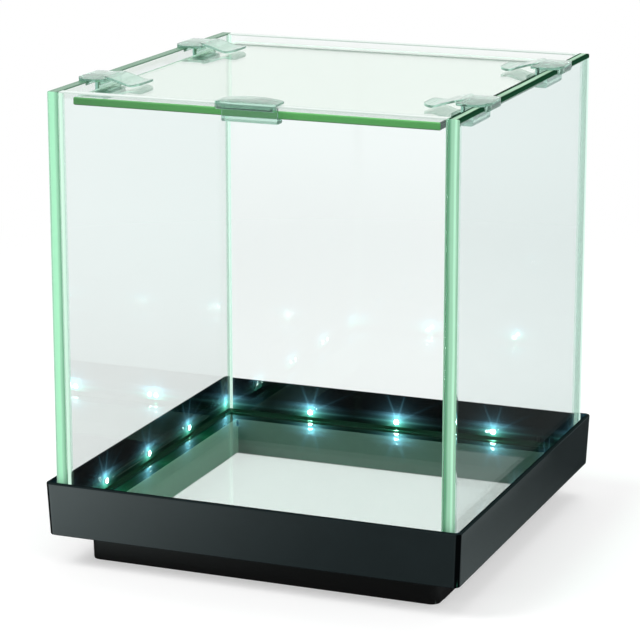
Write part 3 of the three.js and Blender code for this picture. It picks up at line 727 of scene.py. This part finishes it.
def mirrored_floor(g, path, away):
    """The floor's painted reflection: dark in front of the object, and paler behind it, beside it and far
    away.
    """
    x, y = g.place()[:2]
    right = g.ramp(g.math("SUBTRACT", x, g.product(y, SPLIT_LEAN)), SPLIT_FROM, SPLIT_TO)
    beside = g.product(mirrored_right(g, x, y), right, g.math("GREATER_THAN", x, RIGHT_OF_TRAY))
    rear = g.math("GREATER_THAN", y, TANK_HALF)
    left = g.ramp(y, LEFT_Y, LEFT_FAR_Y, LEFT_LEVEL, FAR_LEVEL, smooth=True)
    behind = g.product(rear, g.invert(right), left)
    ahead = g.ramp(y, AHEAD_Y, AHEAD_FAR_Y, 0.0, AHEAD_LEVEL, smooth=True)
    aside = g.ramp(g.absolute(x), ASIDE_X, ASIDE_FAR_X, 0.0, FAR_LEVEL, smooth=True)
    aside = g.product(aside, g.math("LESS_THAN", g.absolute(y), ASIDE_Y))
    distant = g.ramp(away, DISTANT, DISTANT_FAR, 0.0, FAR_LEVEL, smooth=True)
    level = g.largest(g.math("ADD", behind, beside), painted_reflection_strip(g, path, x, y), ahead, distant, aside)
    return g.add("Emission", {"Color": IMAGE_TINT, "Strength": level}).outputs[0]


def floor():
    g = Graph("studio_floor")
    path = g.add("LightPath").outputs
    away = g.add("VectorMath", {0: g.object_place()}, operation="LENGTH").outputs["Value"]
    seen, image = seen_floor(g, path, away), mirrored_floor(g, path, away)
    both = g.add("MixShader", {0: g.mirrored(), 1: seen, 2: image})
    mesh = bpy.data.meshes.new("studio_floor")
    bm = bmesh.new()
    bmesh.ops.create_grid(bm, x_segments=1, y_segments=1, size=FLOOR_HALF)
    bm.to_mesh(mesh)
    bm.free()
    obj = bpy.data.objects.new("studio_floor", mesh)
    bpy.context.scene.collection.objects.link(obj)
    mesh.materials.append(g.finish(both.outputs[0]))
    g.owner.cycles.emission_sampling = "NONE"


# ---- Stage: world, lamps and camera ---------------------------------------------------------

WORLD_LIGHT = 0.42
WORLD_FRONT, WORLD_BACK = 0.55, 1.0  # level of what is mirrored of the world in front and behind
WORLD_TURN = 0.5
WORLD_WITHIN = 0.1  # painted level of the reflection inside the tank: what is mirrored there and seen through two panes or more
TWO_PANES = 2.5  # transmission depth: a pane's two faces count as two
LENGTHWISE = 0.35  # share along Y, from which a direction runs from front to back


def world():
    """White to the camera, a softer level for its light, and other levels where it is mirrored."""
    g = Graph("studio", for_world=True)
    path = g.add("LightPath").outputs
    seen = g.largest(path["Is Camera Ray"], path["Is Glossy Ray"])
    rearward = g.split(g.add("TexCoord").outputs["Generated"])[1]
    image = g.ramp(rearward, -WORLD_TURN, WORLD_TURN, WORLD_FRONT, WORLD_BACK, smooth=True)
    through = g.math("GREATER_THAN", path["Transmission Depth"], TWO_PANES)
    within = g.product(through, g.math("GREATER_THAN", g.absolute(rearward), LENGTHWISE))
    shown = g.choose(g.mirrored(), 1.0, g.choose(within, image, WORLD_WITHIN))
    level = g.choose(seen, WORLD_LIGHT, shown)
    g.finish(g.add("Background", {"Color": WHITE, "Strength": level}).outputs[0])
    bpy.context.scene.world = g.owner


# Each lamp: name, place and aim in metres, diameter in metres, power in watts.
MIDDLE = (0, 0, 0.1)
SOFTBOXES = (
    ("key_left", (-0.9, -0.7, 1.3), MIDDLE, 0.9, 14),
    ("fill_right", (1.1, -0.5, 0.9), MIDDLE, 0.8, 5),
    ("top_back", (0.1, 0.9, 1.3), MIDDLE, 0.9, 7),
    ("low_left", (-0.3, -0.55, 0.14), (-0.06, -0.1, 0.03), 0.2, 0.7),
    ("low_right", (0.55, -0.08, 0.14), (0.1, -0.08, 0.03), 0.2, 0.5),
)


def softbox(name, place, aim, size, power):
    data = bpy.data.lights.new(name, "AREA")
    data.shape = "DISK"
    data.size = size
    data.energy = power
    obj = bpy.data.objects.new(name, data)
    bpy.context.scene.collection.objects.link(obj)
    obj.location = place
    obj.rotation_mode = "QUATERNION"
    obj.rotation_quaternion = (Vector(aim) - Vector(place)).to_track_quat("-Z", "Y")
    obj.visible_camera = False
    obj.visible_transmission = False
    obj.visible_glossy = False


# The camera was fitted to the corners of the tank and the tray. Distances are in tank widths.
AZIMUTH, ELEVATION = 21.72, 14.38  # degrees
DISTANCE, RIGHTWARD, RISE = 6.649, -0.0225, -0.110
SENSOR_WIDTH, FOCAL_LENGTH = 36, 153.3375  # mm
CLIP_NEAR, CLIP_FAR = 0.05, 50


def camera():
    azimuth, elevation = math.radians(AZIMUTH), math.radians(ELEVATION)
    width = 2 * TANK_HALF
    back = Vector((
        math.sin(azimuth) * math.cos(elevation),
        -math.cos(azimuth) * math.cos(elevation),
        math.sin(elevation)))
    right = Vector((math.cos(azimuth), math.sin(azimuth), 0))
    up = back.cross(right)
    aim = Vector((0, 0, TANK_RIM - width / 2))
    data = bpy.data.cameras.new("camera")
    data.sensor_width = SENSOR_WIDTH
    data.lens = FOCAL_LENGTH
    data.clip_start, data.clip_end = CLIP_NEAR, CLIP_FAR
    cam = bpy.data.objects.new("camera", data)
    bpy.context.scene.collection.objects.link(cam)
    cam.location = aim + width * (DISTANCE * back + RIGHTWARD * right + RISE * up)
    cam.rotation_mode = "QUATERNION"
    cam.rotation_quaternion = (-back).to_track_quat("-Z", "Y")
    bpy.context.scene.camera = cam


def light_paths():
    """Enough bounces to see through all the panes, and no fireflies."""
    cycles = bpy.context.scene.cycles
    cycles.max_bounces = 32
    cycles.transmission_bounces = 32
    cycles.transparent_max_bounces = 32
    cycles.glossy_bounces = 12
    cycles.caustics_reflective = False
    cycles.caustics_refractive = False
    cycles.sample_clamp_indirect = 40


dress_nodes()
floor()
world()
for softbox_settings in SOFTBOXES:
    softbox(*softbox_settings)
camera()
light_paths()
bpy.context.scene.view_settings.view_transform = "Standard"
